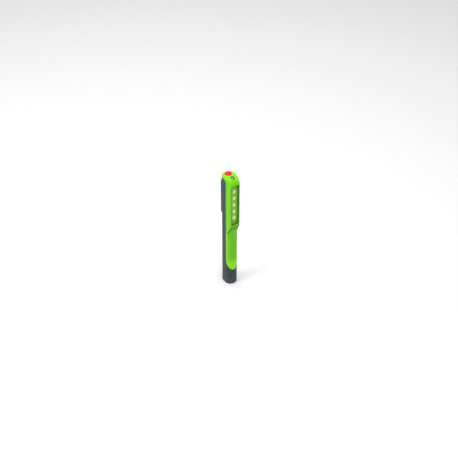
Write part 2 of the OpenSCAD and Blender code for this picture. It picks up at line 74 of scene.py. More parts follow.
def soft_box(name, turn, rise, reach, size, power):
    """A square lamp aimed at the middle of the light."""
    data = bpy.data.lights.new(name, "AREA")
    data.size = size
    data.energy = power
    lamp = bpy.data.objects.new(name, data)
    way = towards(turn, rise)
    lamp.location = Vector((0, 0, 0.08)) + way * reach
    lamp.rotation_euler = way.to_track_quat("Z", "Y").to_euler()
    bpy.context.scene.collection.objects.link(lamp)


soft_box("left_box", turn=100, rise=40, reach=1.1, size=0.45, power=5.4)
soft_box("front_box", turn=10, rise=62, reach=1.3, size=0.5, power=5.0)
soft_box("right_box", turn=-100, rise=35, reach=1.4, size=0.8, power=1.2)
soft_box("back_box", turn=180, rise=55, reach=1.4, size=0.9, power=5.0)
soft_box("top_box", turn=0, rise=88, reach=1.3, size=0.7, power=11)
world = bpy.data.worlds.new("white_sky")
world.use_nodes = True
world.node_tree.nodes["Background"].inputs["Color"].default_value = (1, 1, 1, 1)
world.node_tree.nodes["Background"].inputs["Strength"].default_value = 0.44
bpy.context.scene.world = world
bpy.context.scene.view_settings.view_transform = "Standard"


# ---- Floor --------------------------------------------------------------------------------
# A plain sheet of white paper that the light stands on. Its faint fibre only breaks up the
# shade a little; the sheet runs well past the picture on every side.

class Flow:
    """One socket of a shader. Python sums on it add Math nodes, and make() any other node."""

    def __init__(self, tree, socket):
        self.tree = tree
        self.socket = socket

    def make(self, kind, settings=None, values=None, output=0):
        """Adds a node: its settings first, then the values or links of its sockets."""
        node = self.tree.nodes.new(kind)
        for key, value in (settings or {}).items():
            if key == "stops":
                while len(node.color_ramp.elements) < len(value):
                    node.color_ramp.elements.new(0.5)
                for element, (place, colour) in zip(node.color_ramp.elements, value):
                    element.position = place
                    element.color = colour
            elif key == "interpolation":
                node.color_ramp.interpolation = value
            else:
                setattr(node, key, value)
        for key, value in (values or {}).items():
            if isinstance(value, Flow):
                self.tree.links.new(value.socket, node.inputs[key])
            else:
                node.inputs[key].default_value = value
        return Flow(self.tree, None if output is None else node.outputs[output])

    def math(self, operation, first, second=0.0):
        return self.make("ShaderNodeMath", {"operation": operation}, {0: first, 1: second})

    def __add__(self, other):
        return self.math("ADD", self, other)

    def __radd__(self, other):
        return self.math("ADD", other, self)

    def __sub__(self, other):
        return self.math("SUBTRACT", self, other)

    def __rsub__(self, other):
        return self.math("SUBTRACT", other, self)

    def __mul__(self, other):
        return self.math("MULTIPLY", self, other)

    def __rmul__(self, other):
        return self.math("MULTIPLY", other, self)

    def __truediv__(self, other):
        return self.math("DIVIDE", self, other)

    def __gt__(self, other):
        return self.math("GREATER_THAN", self, other)

    def __lt__(self, other):
        return self.math("LESS_THAN", self, other)

    def colours(self, low, high):
        """Goes from the low colour to the high one as this value goes from 0 to 1."""
        return self.make("ShaderNodeMix", {"data_type": "RGBA"}, {0: self, 6: low, 7: high}, 2)

    def noise(self, scale, detail=3.0, roughness=0.5):
        """Cloudy noise at these coordinates, about 0 to 1, with so many lumps to a metre."""
        return self.make("ShaderNodeTexNoise", {}, {"Vector": self, "Scale": scale,
                                                    "Detail": detail, "Roughness": roughness})


def tone(red, green, blue):
    """A screen colour, 0 to 255, as the linear colour that shaders use."""
    return tuple(c / 12.92 if c <= 0.04045 else ((c + 0.055) / 1.055) ** 2.4
                 for c in (red / 255, green / 255, blue / 255)) + (1.0,)


def start_finish(name):
    """A new material, and the object coordinates to build it from."""
    material = bpy.data.materials.new(name)
    material.use_nodes = True
    material.node_tree.nodes.clear()
    seed = Flow(material.node_tree, None)
    return material, seed.make("ShaderNodeTexCoord", output=3)


def end_finish(material, place, height=None, depth=0.0, **values):
    """Closes a material with a Principled shader, bumped by height over so many metres."""
    sockets = {key.replace("_", " "): value for key, value in values.items()}
    if height is not None:
        sockets["Normal"] = place.make("ShaderNodeBump", {}, {
            "Height": height, "Distance": depth, "Strength": 1.0})
    surface = place.make("ShaderNodeBsdfPrincipled", {}, sockets)
    place.make("ShaderNodeOutputMaterial", {"is_active_output": True}, {"Surface": surface}, None)
    return material


paper, spot = start_finish("paper")
fibre = spot.noise(40)
end_finish(paper, spot, Base_Color=fibre.colours(tone(212, 212, 212), tone(215, 215, 215)),
           Roughness=fibre * 0.1 + 0.8, Specular_IOR_Level=0.1)
floor_mesh = bmesh.new()
bmesh.ops.create_grid(floor_mesh, x_segments=1, y_segments=1, size=4)
floor_data = bpy.data.meshes.new("floor")
floor_mesh.to_mesh(floor_data)
floor_mesh.free()
floor_data.materials.append(paper)
floor = bpy.data.objects.new("floor", floor_data)
bpy.context.scene.collection.objects.link(floor)


# ---- Green front housing ------------------------------------------------------------------
# One moulding in satin lime plastic: the grip with its sunken panel and finger hollows, the
# head with the window, and the whole rounded top. It hooks and screws to the rear housing.

def box_mm(*nodes):
    """Lowest and highest corners of some CAD nodes together, in millimetres."""
    boxes = [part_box(node) for node in nodes]
    return (Vector(min(low[i] for low, high in boxes) for i in range(3)) * 1000,
            Vector(max(high[i] for low, high in boxes) for i in range(3)) * 1000)


cap_low, cap_high = box_mm("base_cap")
front_low, front_high = box_mm("front_housing")
rear_low, rear_high = box_mm("rear_housing")
lens_low, lens_high = box_mm("window_lens")
half_w = cap_high.x                      # half width of the body
half_d = cap_high.y                      # half depth of the body
corner = 7.4                             # corner radius of the body's outline
wall = 1.4
parting_y = -2.6                         # where the two housings part
tongue_tip = front_low.z + 5.0           # the hook runs 5 mm below the tongue's tip
tongue_h = 11.5
tongue_mid = tongue_tip + tongue_h
rim_w = 1.2
panel_depth = 0.5
hollow_depth = 0.9
hollow_h = 7.6
hollow_pitch = 12.4
hollow_z = 48.0
ramp_z = tongue_mid + 2.5                # the panel's lower end rises gently to its rim
ramp_r = 70.0
ramp_depth = 0.95
head_half = half_w - 0.7
head_front = front_low.y
lens_lap = 1.2                           # how far the lens flange runs below the window
chin_flat = 1.6                          # from the window down to the sloping chin
dome_r = 10.0
dome_y = head_front + dome_r
dome_z = front_high.z - dome_r
chin_z = lens_low.z + lens_lap - chin_flat
chin_h = 13.5
chin_back = 6.2
seam_r = 5.0                             # the rear housing's rounded shoulder
seam_top = rear_high.z
seam_y = parting_y + seam_r
seam_z = seam_top - seam_r
skin = 1.2                               # thickness of the shells' walls


def ease(t):
    """Goes softly from 0 to 1."""
    t = min(max(t, 0.0), 1.0)
    return t * t * (3 - 2 * t)


def filled(a, b, radius):
    """Distance to two solids joined with a fillet."""
    return max(radius, min(a, b)) - math.hypot(max(radius - a, 0), max(radius - b, 0))


def trimmed(a, b, radius):
    """Distance to one solid trimmed by another, with the edge rounded off."""
    return min(-radius, max(a, b)) + math.hypot(max(radius + a, 0), max(radius + b, 0))


def outline_gap(x, y):
    """Distance outside the body's rounded outline."""
    over_x = abs(x) - (half_w - corner)
    over_y = abs(y) - (half_d - corner)
    return math.hypot(max(over_x, 0), max(over_y, 0)) + min(max(over_x, over_y), 0) - corner


def body_gap(x, y, z):
    """Distance outside the whole body: column, head with its chin, and rounded top."""
    chin = ((head_front - y) * chin_h + (chin_z - z) * chin_back) / math.hypot(chin_h, chin_back)
    head = trimmed(max(abs(x) - head_half, y), chin, 0.8)
    sides = filled(outline_gap(x, y), head, 0.8)
    top = math.hypot(max(dome_y - y, 0), max(z - dome_z, 0)) - dome_r
    return trimmed(sides, top, 2.4)


def grip_gap(x, y, z):
    """The same, with the grip's sunken panel and its finger hollows."""
    gap = body_gap(x, y, z)
    chin_foot = chin_z - chin_h
    if z > chin_foot or z < tongue_tip or y > parting_y:
        return gap
    below = max(tongue_mid - z, 0) / (tongue_h - rim_w)
    inside = (1 - math.hypot(x / (half_w - rim_w), below)) * (half_w - rim_w)
    sunk = ease(inside / 0.45) * ease((chin_foot - z) / 0.5)
    bow = ((hollow_h / 2) ** 2 + hollow_depth ** 2) / (2 * hollow_depth)
    hollow_y = -half_d + panel_depth + hollow_depth - bow
    hollow = max(bow - math.hypot(y - hollow_y, z - hollow_z - i * hollow_pitch)
                 for i in range(3))
    hollow = max(hollow, ramp_r - math.hypot(y + half_d - ramp_depth + ramp_r, z - ramp_z))
    return trimmed(gap + panel_depth * sunk, hollow - 1.2 * (1 - sunk), 0.06)


def reach(gap, start, way, furthest=22.0):
    """The point where a ray from inside a solid comes out of it."""
    low, high = 0.0, furthest
    for _ in range(22):
        mid = (low + high) / 2
        if gap(*(start + way * mid)) < 0:
            low = mid
        else:
            high = mid
    return start + way * low


def spread(*stretches):
    """Numbers from stretches (start, end, count), each end being the next one's start."""
    numbers = [stretches[0][0]]
    for start, end, count in stretches:
        numbers += [start + (end - start) * i / count for i in range(1, count + 1)]
    return numbers


def laid_grid(rows, columns, place):
    """A grid sheet whose crossings are laid where place(row, column) says."""
    bm = bmesh.new()
    bmesh.ops.create_grid(bm, x_segments=columns - 1, y_segments=rows - 1, size=1)
    for vert in bm.verts:
        column = round((vert.co.x + 1) / 2 * (columns - 1))
        row = round((vert.co.y + 1) / 2 * (rows - 1))
        vert.co = place(row, column)
    bmesh.ops.remove_doubles(bm, verts=bm.verts, dist=0.002)
    bmesh.ops.recalc_face_normals(bm, faces=bm.faces)
    return bm


def bearing(x):
    """Angle from straight ahead, at the parting plane, to the outline's point at x."""
    x = abs(x)
    if x >= half_w - 0.001:
        return math.pi / 2
    y = corner - half_d - math.sqrt(corner ** 2 - max(x - half_w + corner, 0) ** 2)
    return math.atan2(x, parting_y - y)


def half_width_at(angle):
    """The x of the outline's point at that angle: bearing() the other way."""
    way = Vector((math.sin(angle), -math.cos(angle), 0))
    return reach(lambda x, y, z: outline_gap(x, y), Vector((0, parting_y, 0)), way).x


# Rows run in from the seam to the front's middle, closest together at the panel's edge and
# at the head's corner. Columns run down from the back of the top, round the tongue and up.
front_angles = [math.radians(a) for a in spread((90, 66, 9), (66, 59, 5), (59, 51, 10),
                                                (51, 42, 4), (42, 28, 12), (28, 0, 8))]
front_widths = [half_width_at(angle) for angle in front_angles]
down_path = ([("back", a) for a in spread((90, 58, 8), (58, 34, 16), (34, 2, 8))] +
             [("shoulder", a) for a in spread((90, 0, 26))] +
             [("straight", z) for z in spread((seam_z - 1, 97, 18), (97, 78, 30),
                                              (78, tongue_mid + 0.5, 76))])
tongue_path = [("tongue", a) for a in spread((0, 180, 48))]
stations = ([(-1,) + s for s in down_path] + [(0,) + s for s in tongue_path] +
            [(1,) + s for s in reversed(down_path)])


def front_point(row, column):
    """Where one crossing of the front housing's sheet lies."""
    side, kind, value = stations[column]
    width = front_widths[row]
    angle = front_angles[row]
    if kind == "tongue":
        turn = math.radians(value)
        drop = tongue_h - (half_w - width)
        x = -width * math.cos(turn)
        angle = math.copysign(bearing(x), x)
        start = Vector((0, parting_y, tongue_mid - drop * math.sin(turn)))
        way = Vector((math.sin(angle), -math.cos(angle), 0))
    elif kind == "straight":
        start = Vector((0, parting_y, value))
        way = Vector((side * math.sin(angle), -math.cos(angle), 0))
    else:
        turn = math.radians(value)
        ahead = Vector((0, -math.cos(turn), math.sin(turn)))
        start = Vector((0, seam_y, seam_z)) + ahead * seam_r
        if kind == "back":
            ahead = Vector((0, math.sin(turn), math.cos(turn)))
            start = Vector((0, seam_y + 1.8 * value / 90, seam_top))
        way = Vector((side * math.sin(angle), 0, 0)) + ahead * math.cos(angle)
    groove = 0.55 * (1 - ease((front_widths[0] - width) / 0.32))
    return reach(grip_gap, start, way) - way * groove


def turn_out(bm, inner):
    """Turns every face away from a place inside, if they face it."""
    facing = sum((face.calc_center_median() - inner).dot(face.normal) for face in bm.faces)
    if facing < 0:
        bmesh.ops.reverse_faces(bm, faces=bm.faces)


def thickened(bm, depth):
    """Gives a sheet a wall on its inner side."""
    skin_faces = bm.faces[:]
    rim = [edge for edge in bm.edges if edge.is_boundary]
    inner = bmesh.ops.duplicate(bm, geom=skin_faces)
    copies = inner["vert_map"]
    for face in skin_faces:
        face.normal_update()
    moved = {vert: vert.normal.copy() for vert in {v for f in skin_faces for v in f.verts}}
    for vert, normal in moved.items():
        copies[vert].co = vert.co - normal * depth
    bmesh.ops.reverse_faces(bm, faces=[f for f in inner["geom"]
                                       if isinstance(f, bmesh.types.BMFace)])
    bmesh.ops.bridge_loops(bm, edges=rim + [e for e in inner["geom"]
                                            if isinstance(e, bmesh.types.BMEdge)
                                            and e.is_boundary])
    bmesh.ops.recalc_face_normals(bm, faces=bm.faces)


def in_place(bm, name):
    """A temporary object, in millimetres, from a bmesh."""
    data = bpy.data.meshes.new(name)
    bm.to_mesh(data)
    bm.free()
    obj = bpy.data.objects.new(name, data)
    bpy.context.scene.collection.objects.link(obj)
    return obj


def carve(target, tool, operation="DIFFERENCE"):
    """Cuts a tool out of a target, or joins it on, and removes the tool."""
    cut = target.modifiers.new("cut", "BOOLEAN")
    cut.operation = operation
    cut.object = tool
    cut.solver = "MANIFOLD"
    bpy.context.view_layer.update()
    result = bpy.data.meshes.new_from_object(
        target.evaluated_get(bpy.context.evaluated_depsgraph_get()))
    target.modifiers.clear()
    target.data = result
    bpy.data.objects.remove(tool)


def finished(obj, body, material, nodes=(), sharp=32):
    """Brings a piece to metres, smooths all but its sharp edges, and hands it to its body."""
    obj.data.transform(Matrix.Scale(0.001, 4))
    for polygon in obj.data.polygons:
        polygon.use_smooth = True
    obj.data.set_sharp_from_angle(angle=math.radians(sharp))
    obj.data.materials.clear()
    obj.data.materials.append(material)
    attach(obj, body)
    if nodes:
        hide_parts(*nodes)
    return obj


def block(low, high, soften=0.0, steps=2):
    """A box between two corners, with its edges rounded."""
    bm = bmesh.new()
    bmesh.ops.create_cube(bm, size=1)
    low, high = Vector(low), Vector(high)
    for vert in bm.verts:
        vert.co = (low + high) / 2 + Vector(a * b for a, b in zip(vert.co, high - low))
    if soften:
        bmesh.ops.bevel(bm, geom=bm.edges[:], offset=soften, segments=steps, profile=0.5,
                        affect="EDGES", material=-1)
    return bm


def turned(profile, centre, axis=(0, 0, 1), steps=64):
    """A turned piece from (radius, height) points along an axis through a centre."""
    bm = bmesh.new()
    verts = [bm.verts.new((radius, 0, height)) for radius, height in profile]
    edges = [bm.edges.new(pair) for pair in zip(verts, verts[1:])]
    bmesh.ops.spin(bm, geom=verts + edges, cent=(0, 0, 0), axis=(0, 0, 1),
                   angle=2 * math.pi, steps=steps, use_merge=True)
    bmesh.ops.remove_doubles(bm, verts=bm.verts, dist=1e-4)
    bmesh.ops.recalc_face_normals(bm, faces=bm.faces)
    lean = Vector((0, 0, 1)).rotation_difference(Vector(axis)).to_matrix().to_4x4()
    bm.transform(Matrix.Translation(Vector(centre)) @ lean)
    return bm


def softened(profile, radius, steps=4):
    """A profile with each corner between its ends rounded, as far as its sides allow."""
    points = [Vector(p) for p in profile]
    rounded = [points[0]]
    for before, here, after in zip(points, points[1:], points[2:]):
        back, ahead = before - here, after - here
        room = min(radius, back.length * 0.49, ahead.length * 0.49)
        start, end = here + back.normalized() * room, here + ahead.normalized() * room
        rounded += [start.lerp(here, t).lerp(here.lerp(end, t), t)
                    for t in (i / steps for i in range(steps + 1))]
    return rounded + [points[-1]]


def lozenge(half_x, half_z, radius, y_profile, centre_z, steps=8):
    """A rounded panel cutter across Y; y_profile gives (y, how much larger all round)."""
    count = 4 * (steps + 1)

    def place(row, column):
        y, grow = y_profile[row]
        column %= count
        quarter, step = divmod(column, steps + 1)
        angle = math.radians(90 * quarter + 90 * step / steps)
        side_x = 1 if quarter in (0, 3) else -1
        side_z = 1 if quarter in (0, 1) else -1
        r = radius + grow
        return Vector((side_x * (half_x - radius) + r * math.cos(angle), y,
                       centre_z + side_z * (half_z - radius) + r * math.sin(angle)))

    bm = laid_grid(len(y_profile), count + 1, place)
    bmesh.ops.holes_fill(bm, edges=[e for e in bm.edges if e.is_boundary])
    bmesh.ops.recalc_face_normals(bm, faces=bm.faces)
    return bm


def moulded(name, base, deep, roughness, grain=0.000012, gloss=0.18, painted_glow=0.0):
    """Moulded plastic: faint cloudy colour, fine spark-eroded grain, soft rub marks, and a painted
    glow if asked.
    """
    material, place = start_finish(name)
    cloud = place.noise(70, 4)
    rub = place.noise(900, 5, 0.6)
    fine = place.noise(5200, 2)
    shade = (cloud * 0.6 + rub * 0.4).colours(base, deep)
    # The emission is a painted glow: the plastic gives off light of its own though it is no lamp.
    return end_finish(
        material, place, height=fine * 0.7 + rub * 0.3, depth=grain, Base_Color=shade,
        Roughness=rub * 0.14 + (roughness - 0.07), Specular_IOR_Level=gloss,
        Emission_Color=shade, Emission_Strength=painted_glow)


def sides_of(place):
    """The x, y and z of some coordinates, in millimetres."""
    return [place.make("ShaderNodeSeparateXYZ", {}, {0: place}, i) * 1000 for i in range(3)]


def lime(name):
    """Satin lime plastic, textured in the grip's panel, with painted light: the panel painted
    darker at its top under the chin and lighter towards the foot, a painted highlight on the rim
    round it, and painted shade along the sloping chin.
    """
    material, place = start_finish(name)
    x, y, z = sides_of(place)
    low = place.math("MAXIMUM", tongue_mid - z, 0) / (tongue_h - rim_w)
    wide = x / (half_w - rim_w)
    ring = place.math("SQRT", wide * wide + low * low)
    below_chin = (z < chin_z - chin_h) * (y < parting_y)
    panel = (ring < 0.955) * below_chin
    rim = (ring > 0.965) * below_chin
    slope = math.hypot(chin_h, chin_back)
    above = (head_front - y) * (chin_h / slope) + (chin_z - z) * (chin_back / slope)
    # Painted shade: a darker green along the head's sloping underside, the chin, where shadow
    # falls.
    chin = 1 - place.math("MINIMUM", place.math("ABSOLUTE", above) * 1.1, 1)
    chin = chin * (z > chin_z - chin_h) * (z < chin_z + 0.4) * (y < -half_d + 4)
    # Painted light: the panel's colour runs from darker at its top, in the chin's shadow, to
    # lighter towards the foot.
    painted_foot_light = place.math("MINIMUM", place.math(
        "MAXIMUM", (tongue_tip + 18.6 - z) / 10, 0), 1)
    cloud = place.noise(70, 4)
    rub = place.noise(900, 5, 0.6)
    fine = place.noise(5200, 2)
    shell_green = (cloud * 0.6 + rub * 0.4).colours(tone(112, 204, 10), tone(103, 193, 6))
    shell_green = (chin * 0.9).colours(shell_green, tone(62, 128, 8))
    # Painted highlight: a paler green along the rim round the panel.
    shell_green = (rim * 0.6).colours(shell_green, tone(150, 214, 70))
    return end_finish(
        material, place, height=fine * (panel * 1.4 + 0.6) + rub * 0.3, depth=0.000012,
        Base_Color=panel.colours(shell_green, painted_foot_light.colours(tone(105, 192, 8),
                                                                tone(138, 224, 16))),
        Roughness=rub * 0.14 + panel * 0.12 + 0.33, Specular_IOR_Level=0.16)


green_plastic = lime("green_plastic")
front = laid_grid(len(front_angles), len(stations), front_point)
turn_out(front, Vector((0, 0, 90)))
thickened(front, skin)
front = in_place(front, "front_shell")

# Window opening with a small bevel at its mouth
frame_w = 1.8
window_r = 1.6
window_half_x = head_half - frame_w
window_low = lens_low.z + lens_lap
window_high = lens_high.z - 1.0          # the flange runs less far above it
window_mid = (window_low + window_high) / 2
window_half_z = (window_high - window_low) / 2
mouth = ((head_front - 0.4, 0.75), (head_front + 0.35, 0.0), (head_front + 3, 0.0))
carve(front, in_place(lozenge(window_half_x, window_half_z, window_r, mouth, window_mid),
                      "tool"))

# Button hole and torch hole, each with an eased mouth
button_low, button_high = box_mm("push_button")
button_lip = 0.6                         # the flange that keeps the button in
button_r = (button_high.x - button_low.x) / 2 - button_lip
button_y = button_high.y - button_r - button_lip
hole_r = button_r + 0.1
carve(front, in_place(turned([(0, -4), (hole_r, -4), (hole_r, -0.3), (hole_r + 0.5, 0.2),
                              (hole_r + 0.5, 2), (0, 2)],
                             (0, button_y, front_high.z)), "tool"))
torch_tilt = math.radians(25)
torch_way = Vector((0, -math.sin(torch_tilt), math.cos(torch_tilt)))
torch_r = box_mm("torch_led")[1].x - 0.4
torch_hole = torch_r + 0.42
dome_centre = Vector((0, dome_y, dome_z))
carve(front, in_place(turned([(0, -4), (torch_hole, -4), (torch_hole, -0.2),
                              (torch_hole + 0.3, 0.1), (torch_hole + 0.3, 3), (0, 3)],
                             dome_centre + torch_way * dome_r, torch_way), "tool"))
finished(front, "housing", green_plastic, ["front_housing"])


# ---- Grey rear housing --------------------------------------------------------------------
# The back half and the foot of the body in grey plastic, with ears for the clip, two screw
# seats and the neck that the base cap is pushed onto. It meets the green shell in a groove.

foot_z = cap_high.z + 0.2                # lower end of the outer wall, over the neck
tongue_levels = [tongue_mid - tongue_h * math.sin(math.radians(a)) for a in spread((90, 0, 24))]
rear_levels = (spread((foot_z, tongue_tip - 0.3, 8)) + tongue_levels +
               spread((tongue_mid + 2, seam_z - 2, 30)) +
               [seam_z + seam_r * math.sin(math.radians(a)) for a in spread((0, 90, 12))])
rear_columns = 145


def rear_point(row, column):
    """Where one crossing of the rear housing's sheet lies."""
    z = rear_levels[row]
    widest = math.pi / 2
    y = parting_y
    if z <= tongue_tip:
        widest = math.pi
    elif z < tongue_mid:
        share = math.sqrt(max(1 - ((tongue_mid - z) / tongue_h) ** 2, 0))
        widest = math.pi - bearing(half_w * share)
    elif z > seam_z:
        y = seam_y - math.sqrt(max(seam_r ** 2 - (z - seam_z) ** 2, 0))
    angle = widest * (2 * column / (rear_columns - 1) - 1)
    return reach(body_gap, Vector((0, y, z)), Vector((math.sin(angle), math.cos(angle), 0)))


rear = laid_grid(len(rear_levels), rear_columns, rear_point)
turn_out(rear, Vector((0, 0, 90)))
thickened(rear, skin)
rear = in_place(rear, "rear_shell")

# Ears that hold the clip's pin
pin_low, pin_high = box_mm("clip_pin")
pin_y = (pin_low.y + pin_high.y) / 2
pin_z = (pin_low.z + pin_high.z) / 2
pin_r = (pin_high.z - pin_low.z) / 2
ear_r = 1.6
ear_w = 1.5
ear_x = 3.1                              # inner face of an ear


def slab(outline, thickness, soften, steps=3):
    """A plate from an X-Y outline, standing on Z = 0, with its edges rounded."""
    bm = bmesh.new()
    face = bm.faces.new([bm.verts.new((x, y, 0)) for x, y in outline])
    grown = bmesh.ops.extrude_face_region(bm, geom=[face])["geom"]
    bmesh.ops.translate(bm, vec=(0, 0, thickness),
                        verts=[v for v in grown if isinstance(v, bmesh.types.BMVert)])
    bmesh.ops.recalc_face_normals(bm, faces=bm.faces)
    if soften:
        corners = [e for e in bm.edges if e.calc_face_angle(0) > math.radians(50)]
        bmesh.ops.bevel(bm, geom=corners, offset=soften, segments=steps, profile=0.5,
                        affect="EDGES", material=-1)
    return bm


def arc(x, y, radius, first, last, steps=10):
    """Points round part of a circle, in degrees."""
    return [(x + radius * math.cos(math.radians(a)), y + radius * math.sin(math.radians(a)))
            for a in spread((first, last, steps))]


ear_outline = arc(pin_y, pin_z, ear_r, -90, 90, 14) + [(half_d - 1, pin_z + ear_r),
                                                       (half_d - 1, pin_z - ear_r)]
stand_up = Matrix(((0, 0, 1, 0), (1, 0, 0, 0), (0, 1, 0, 0), (0, 0, 0, 1)))
for side in (-1, 1):
    ear = slab(ear_outline, ear_w, 0.28)
    ear.transform(Matrix.Translation((ear_x if side > 0 else -ear_x - ear_w, 0, 0)) @ stand_up)
    carve(rear, in_place(ear, "tool"), "UNION")
carve(rear, in_place(turned([(0, -8), (pin_r + 0.02, -8), (pin_r + 0.02, 8), (0, 8)],
                            (0, pin_y, pin_z), (1, 0, 0), 32), "tool"))

# Screw seats
screw_low, screw_high = box_mm("housing_screws")
screw_r = 1.9
screw_x = screw_high.x - screw_r
screw_z = (screw_low.z + screw_high.z) / 2
seat_y = screw_high.y - 1.4
for side in (-1, 1):
    seat = Vector((side * screw_x, seat_y, screw_z))
    carve(rear, in_place(turned([(0, -1.4), (2.4, -1.4), (2.4, 2.6), (0, 2.6)],
                                seat, (0, 1, 0), 48), "tool"), "UNION")
    carve(rear, in_place(turned([(0, -3), (1.1, -3), (1.1, 0), (2.05, 0), (2.05, 9), (0, 9)],
                                seat, (0, 1, 0), 48), "tool"))
grey_plastic = moulded("grey_plastic", tone(55, 67, 72), tone(48, 60, 64), 0.46)
finished(rear, "housing", grey_plastic, ["rear_housing"])


# ---- Neck for the base cap ----------------------------------------------------------------
# The foot of the rear housing steps in to a neck with a groove for the rubber seal. The bore
# that the cells slide through runs up its middle. It shows once the cap is pulled off.

cell_low, cell_high = box_mm("cell_bottom")
cell_y = (cell_low.y + cell_high.y) / 2
bore_r = (cell_high.y - cell_low.y) / 2 + 0.2
neck_inset = 1.55
neck_top = 13.5
seal_low, seal_high = box_mm("cap_seal")
ring_columns = 144


def outline_point(column, inset, z, columns=ring_columns):
    """A place on the body's outline, drawn in by an inset, at a height."""
    angle = 2 * math.pi * (column % columns + 0.5) / columns
    radius = corner - inset
    return Vector((math.copysign(half_w - corner, math.cos(angle)) + radius * math.cos(angle),
                   math.copysign(half_d - corner, math.sin(angle)) + radius * math.sin(angle), z))


groove_low, groove_high = seal_low.z - 0.05, seal_high.z + 0.05
neck_profile = softened([(0.7, neck_top), (0.7, foot_z + 0.02), (neck_inset, foot_z + 0.02),
                         (neck_inset, groove_high), (2.0, groove_high), (2.0, groove_low),
                         (neck_inset, groove_low), (neck_inset, rear_low.z),
                         (neck_inset + 0.7, rear_low.z)], 0.12, 2)


def neck_point(row, column):
    """The neck's outside from its profile, then the round bore, then back to the start."""
    row %= len(neck_profile) + 2
    if row < len(neck_profile):
        return outline_point(column, *neck_profile[row])
    angle = 2 * math.pi * (column % ring_columns + 0.5) / ring_columns
    z = (rear_low.z, neck_top)[row - len(neck_profile)]
    return Vector((bore_r * math.cos(angle), cell_y + bore_r * math.sin(angle), z))


neck = laid_grid(len(neck_profile) + 3, ring_columns + 1, neck_point)
finished(in_place(neck, "neck"), "housing", grey_plastic)


# ---- Grey base cap ------------------------------------------------------------------------
# A deep cup in the same grey plastic, with three fine grip grooves and a rounded bottom edge.
# It is pushed up onto the neck's seal, and pulls straight down to change the cells.

groove_half = 0.42
groove_depth = 0.36
groove_levels = (2.2, 5.5, 8.8)
cap_floor = box_mm("cap_contact")[0].z


def cap_side():
    """The cap's outer profile from the bottom up, as (inset, height)."""
    points = softened([(4.0, 0.0), (0.0, 0.0), (0.0, 1.6)], 0.9, 6)[:-1]
    for middle in groove_levels:
        points += [(groove_depth * math.sin(a), middle - groove_half * math.cos(a))
                   for a in (math.radians(turn) for turn in spread((0, 180, 10)))]
    return points


cap_profile = ([(half_w, 0.0)] + cap_side() +
               softened([(0.0, cap_high.z - 1), (0.0, cap_high.z), (wall, cap_high.z),
                         (wall, cap_floor), (half_w, cap_floor)], 0.25, 3))


def cap_point(row, column):
    """The cap's outside and inside from its profile; both ends close on the middle."""
    inset, z = cap_profile[row]
    if inset >= corner:
        return Vector((0, 0, z))
    return outline_point(column, inset, z)


cap = laid_grid(len(cap_profile), ring_columns + 1, cap_point)
cap_plastic = moulded("cap_plastic", tone(68, 78, 85), tone(60, 70, 77), 0.48)
finished(in_place(cap, "cap_cup"), "cap", cap_plastic, ["base_cap"])


# ---- Push button --------------------------------------------------------------------------
# Translucent red plastic: a domed crown, a stem through the top, a flange that keeps it in,
# and a post that bears on the switch. It stands proud of the top by a little over 1 mm.

plunger_top = box_mm("switch_plunger")[1].z
flange_low = plunger_top + 5.4
crown_top = button_high.z
crown_h = 0.7
crown_bow = (button_r ** 2 + crown_h ** 2) / (2 * crown_h)
crown = [(crown_bow * math.sin(a), crown_top - crown_bow * (1 - math.cos(a)))
         for a in (math.asin(button_r / crown_bow) * i / 12 for i in range(13))]
flange_r = button_r + button_lip
button_profile = softened(crown[:-1] + [(button_r, crown_top - crown_h),
                                        (button_r, flange_low + 1), (flange_r, flange_low + 1),
                                        (flange_r, flange_low), (2.0, flange_low),
                                        (2.0, plunger_top), (0, plunger_top)], 0.3, 4)
button = turned(button_profile, (0, button_y, 0), steps=72)
bmesh.ops.bisect_plane(button, geom=button.verts[:] + button.edges[:] + button.faces[:],
                       plane_co=(0, button_low.y, 0), plane_no=(0, -1, 0), clear_outer=True)
bmesh.ops.holes_fill(button, edges=[e for e in button.edges if e.is_boundary])
red_plastic = moulded("red_plastic", tone(236, 34, 50), tone(222, 26, 42), 0.34, 0.000006)
finished(in_place(button, "button_cap"), "button", red_plastic, ["push_button"])


# ---- Pocket clip --------------------------------------------------------------------------
# One grey nylon moulding: a straight springy arm with a narrow neck, a knuckle on the steel
# pin, a ridge inside the toe that grips a pocket's edge, and a round seat for the magnet.

clip_low, clip_high = box_mm("clip_arm")
magnet_low, magnet_high = box_mm("clip_magnet")
clip_half = clip_high.x
clip_out = clip_high.y
clip_in = half_d + 1.2
neck_half = 3.0
knuckle_r = 1.35
neck_z = pin_z - knuckle_r - 0.9
toe_z = clip_low.z
outline = (arc(clip_half - 2, toe_z + 2, 2, -90, 0, 8) +
           arc(clip_half - 0.9, neck_z - 0.9, 0.9, 0, 90, 6) +
           [(neck_half, neck_z), (neck_half, pin_z)])
outline = outline + [(-x, z) for x, z in reversed(outline)]
arm = slab(outline, clip_out - clip_in, 0.38)
arm.transform(Matrix.Translation((0, clip_out, 0)) @ Matrix.Rotation(math.pi / 2, 4, "X"))
arm = in_place(arm, "clip")
knuckle = turned(softened([(0, -neck_half), (knuckle_r, -neck_half), (knuckle_r, neck_half),
                           (0, neck_half)], 0.2), (0, pin_y, pin_z), (1, 0, 0), 40)
carve(arm, in_place(knuckle, "tool"), "UNION")
ridge = slab(softened([(clip_in + 0.4, toe_z + 9.4), (clip_in - 0.9, toe_z + 5),
                       (clip_in - 0.9, toe_z + 3), (clip_in + 0.4, toe_z + 0.8)], 0.5),
             2 * clip_half - 2.4, 0.0)
ridge.transform(Matrix.Translation((1.2 - clip_half, 0, 0)) @ stand_up)
carve(arm, in_place(ridge, "tool"), "UNION")
carve(arm, in_place(turned([(0, -8), (pin_r + 0.05, -8), (pin_r + 0.05, 8), (0, 8)],
                           (0, pin_y, pin_z), (1, 0, 0), 32), "tool"))
magnet_r = magnet_high.x
